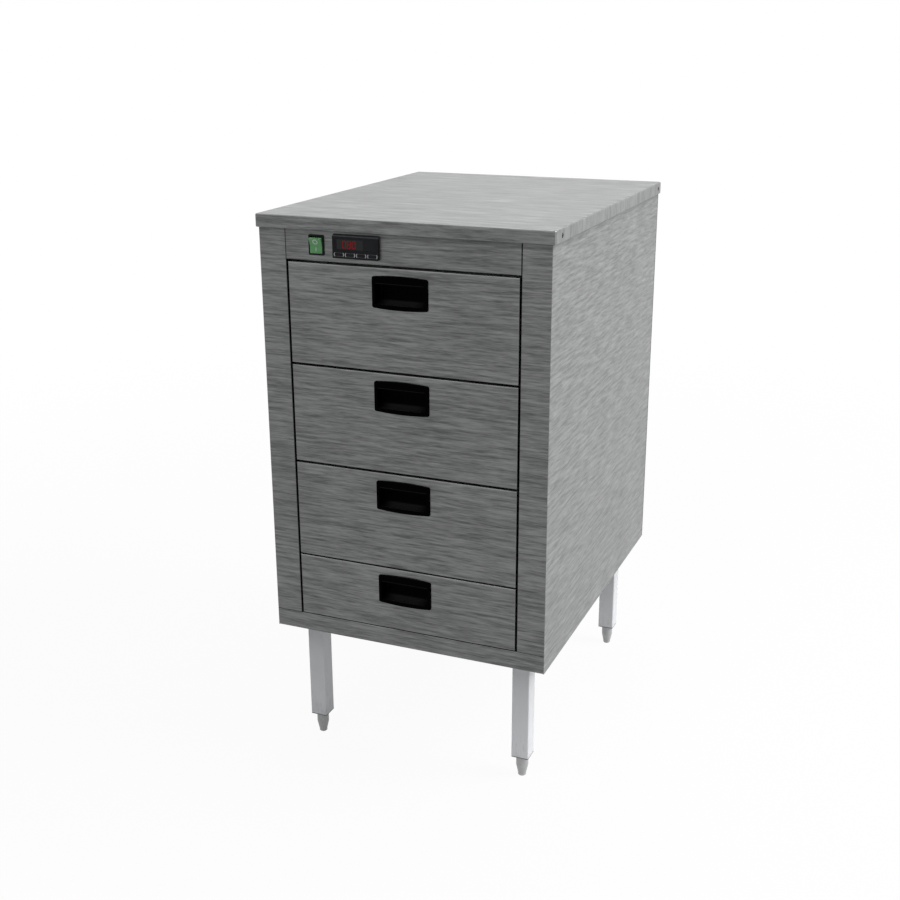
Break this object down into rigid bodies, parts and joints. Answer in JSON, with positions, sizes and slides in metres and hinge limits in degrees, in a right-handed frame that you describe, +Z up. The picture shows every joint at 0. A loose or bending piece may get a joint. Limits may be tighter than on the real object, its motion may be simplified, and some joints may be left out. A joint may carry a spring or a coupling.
{
  "type": "roll warmer drawer cabinet",
  "caption": "Free-standing stainless cabinet with heated drawers on telescopic slides, a thermostat and switch in the fascia, and square legs on levelling feet",
  "frame": {"origin": "centre of the bounding box in X and Y, on the floor", "axes": "X points right as seen from the front, Y from the drawer fronts to the back, Z up"},
  "size_m": [0.475, 0.637, 0.9],
  "materials": {
    "stainless_top": "brushed stainless sheet, grain across the width",
    "stainless_front": "brushed stainless sheet, grain across the width",
    "stainless_fascia": "brushed stainless sheet, grain across the width",
    "stainless_side": "brushed stainless sheet, grain along the depth, stiles across",
    "stainless_back": "brushed stainless sheet",
    "liner_steel": "satin stainless liner sheet",
    "box_steel": "satin stainless drawer tray",
    "slide_zinc": "bright zinc plated rolled steel",
    "screw_steel": "blackened steel screws",
    "bolt_steel": "zinc plated steel",
    "element_sheath": "heat-darkened sheath tube",
    "probe_steel": "stainless probe",
    "leg_metal": "smooth pale grey square tube",
    "foot_metal": "satin turned metal foot",
    "handle_plastic": "black moulded nylon, satin",
    "control_plastic": "black moulded housing",
    "control_window": "smoked display window",
    "key_plastic": "black keys",
    "switch_plastic": "black switch housing",
    "rocker_green": "green translucent rocker",
    "insert_plastic": "grey nylon tube insert",
    "gland_plastic": "black nylon gland",
    "terminal_plastic": "off-white terminal block",
    "mineral_wool": "mineral wool slab"
  },
  "bodies": {
    "cabinet": {"back_panel": "stainless_back", "base_pan": "stainless_front", "cabinet_slides": "slide_zinc", "cable_gland": "gland_plastic", "casing_screws": "screw_steel", "control_fascia": "stainless_fascia", "controller_bezel": "control_plastic", "controller_case": "control_plastic", "controller_window": "control_window", "element_supports": "liner_steel", "heating_element": "element_sheath", "insulation": "mineral_wool", "leg_backing_plates": "bolt_steel", "leg_bolts": "bolt_steel", "leg_front_left": "leg_metal", "leg_front_right": "leg_metal", "leg_inserts": "insert_plastic", "leg_rear_left": "leg_metal", "leg_rear_right": "leg_metal", "liner_back": "liner_steel", "liner_base": "liner_steel", "liner_left": "liner_steel", "liner_right": "liner_steel", "liner_top": "liner_steel", "side_panel_left": "stainless_side", "side_panel_right": "stainless_side", "switch_housing": "switch_plastic", "temperature_probe": "probe_steel", "terminal_block": "terminal_plastic", "worktop": "stainless_top"},
    "drawer_1": {"drawer_1_front": "stainless_front", "drawer_1_box": "box_steel", "drawer_1_handle": "handle_plastic", "drawer_1_slides": "slide_zinc"},
    "middle_slides_1": {"drawer_1_middle_slides": "slide_zinc"},
    "drawer_2": {"drawer_2_front": "stainless_front", "drawer_2_box": "box_steel", "drawer_2_handle": "handle_plastic", "drawer_2_slides": "slide_zinc"},
    "middle_slides_2": {"drawer_2_middle_slides": "slide_zinc"},
    "drawer_3": {"drawer_3_front": "stainless_front", "drawer_3_box": "box_steel", "drawer_3_handle": "handle_plastic", "drawer_3_slides": "slide_zinc"},
    "middle_slides_3": {"drawer_3_middle_slides": "slide_zinc"},
    "drawer_4": {"drawer_4_front": "stainless_front", "drawer_4_box": "box_steel", "drawer_4_handle": "handle_plastic", "drawer_4_slides": "slide_zinc"},
    "middle_slides_4": {"drawer_4_middle_slides": "slide_zinc"},
    "switch_rocker": {"switch_rocker": "rocker_green"},
    "controller_key_1": {"controller_key_1": "key_plastic"},
    "controller_key_2": {"controller_key_2": "key_plastic"},
    "controller_key_3": {"controller_key_3": "key_plastic"},
    "controller_key_4": {"controller_key_4": "key_plastic"},
    "foot_front_left": {"foot_front_left": "foot_metal"},
    "foot_front_right": {"foot_front_right": "foot_metal"},
    "foot_rear_left": {"foot_rear_left": "foot_metal"},
    "foot_rear_right": {"foot_rear_right": "foot_metal"}
  },
  "joints": [
    {"name": "drawer_1_slide", "type": "slide", "parent": "cabinet", "child": "drawer_1", "axis": [0, -1, 0], "range_m": [0, 0.44]},
    {"name": "middle_slides_1_slide", "type": "slide", "parent": "cabinet", "child": "middle_slides_1", "axis": [0, -1, 0], "range_m": [0, 0.22]},
    {"name": "drawer_2_slide", "type": "slide", "parent": "cabinet", "child": "drawer_2", "axis": [0, -1, 0], "range_m": [0, 0.44]},
    {"name": "middle_slides_2_slide", "type": "slide", "parent": "cabinet", "child": "middle_slides_2", "axis": [0, -1, 0], "range_m": [0, 0.22]},
    {"name": "drawer_3_slide", "type": "slide", "parent": "cabinet", "child": "drawer_3", "axis": [0, -1, 0], "range_m": [0, 0.44]},
    {"name": "middle_slides_3_slide", "type": "slide", "parent": "cabinet", "child": "middle_slides_3", "axis": [0, -1, 0], "range_m": [0, 0.22]},
    {"name": "drawer_4_slide", "type": "slide", "parent": "cabinet", "child": "drawer_4", "axis": [0, -1, 0], "range_m": [0, 0.44]},
    {"name": "middle_slides_4_slide", "type": "slide", "parent": "cabinet", "child": "middle_slides_4", "axis": [0, -1, 0], "range_m": [0, 0.22]},
    {"name": "switch_rocker_hinge", "type": "hinge", "parent": "cabinet", "child": "switch_rocker", "pos_m": [-0.1349, -0.3112, 0.8583], "axis": [-1, 0, 0], "range_deg": [0, 24]},
    {"name": "controller_key_1_press", "type": "slide", "parent": "cabinet", "child": "controller_key_1", "axis": [0, 1, 0], "range_m": [0, 0.0005], "stiffness_N_per_m": 1000, "springref_m": -0.0005},
    {"name": "controller_key_2_press", "type": "slide", "parent": "cabinet", "child": "controller_key_2", "axis": [0, 1, 0], "range_m": [0, 0.0005], "stiffness_N_per_m": 1000, "springref_m": -0.0005},
    {"name": "controller_key_3_press", "type": "slide", "parent": "cabinet", "child": "controller_key_3", "axis": [0, 1, 0], "range_m": [0, 0.0005], "stiffness_N_per_m": 1000, "springref_m": -0.0005},
    {"name": "controller_key_4_press", "type": "slide", "parent": "cabinet", "child": "controller_key_4", "axis": [0, 1, 0], "range_m": [0, 0.0005], "stiffness_N_per_m": 1000, "springref_m": -0.0005},
    {"name": "foot_front_left_level", "type": "slide", "parent": "cabinet", "child": "foot_front_left", "axis": [0, 0, -1], "range_m": [0, 0.025]},
    {"name": "foot_front_right_level", "type": "slide", "parent": "cabinet", "child": "foot_front_right", "axis": [0, 0, -1], "range_m": [0, 0.025]},
    {"name": "foot_rear_left_level", "type": "slide", "parent": "cabinet", "child": "foot_rear_left", "axis": [0, 0, -1], "range_m": [0, 0.025]},
    {"name": "foot_rear_right_level", "type": "slide", "parent": "cabinet", "child": "foot_rear_right", "axis": [0, 0, -1], "range_m": [0, 0.025]}
  ],
  "couplings": [
    {"joint": "middle_slides_1_slide", "follows": "drawer_1_slide", "ratio": 0.5},
    {"joint": "middle_slides_2_slide", "follows": "drawer_2_slide", "ratio": 0.5},
    {"joint": "middle_slides_3_slide", "follows": "drawer_3_slide", "ratio": 0.5},
    {"joint": "middle_slides_4_slide", "follows": "drawer_4_slide", "ratio": 0.5}
  ]
}
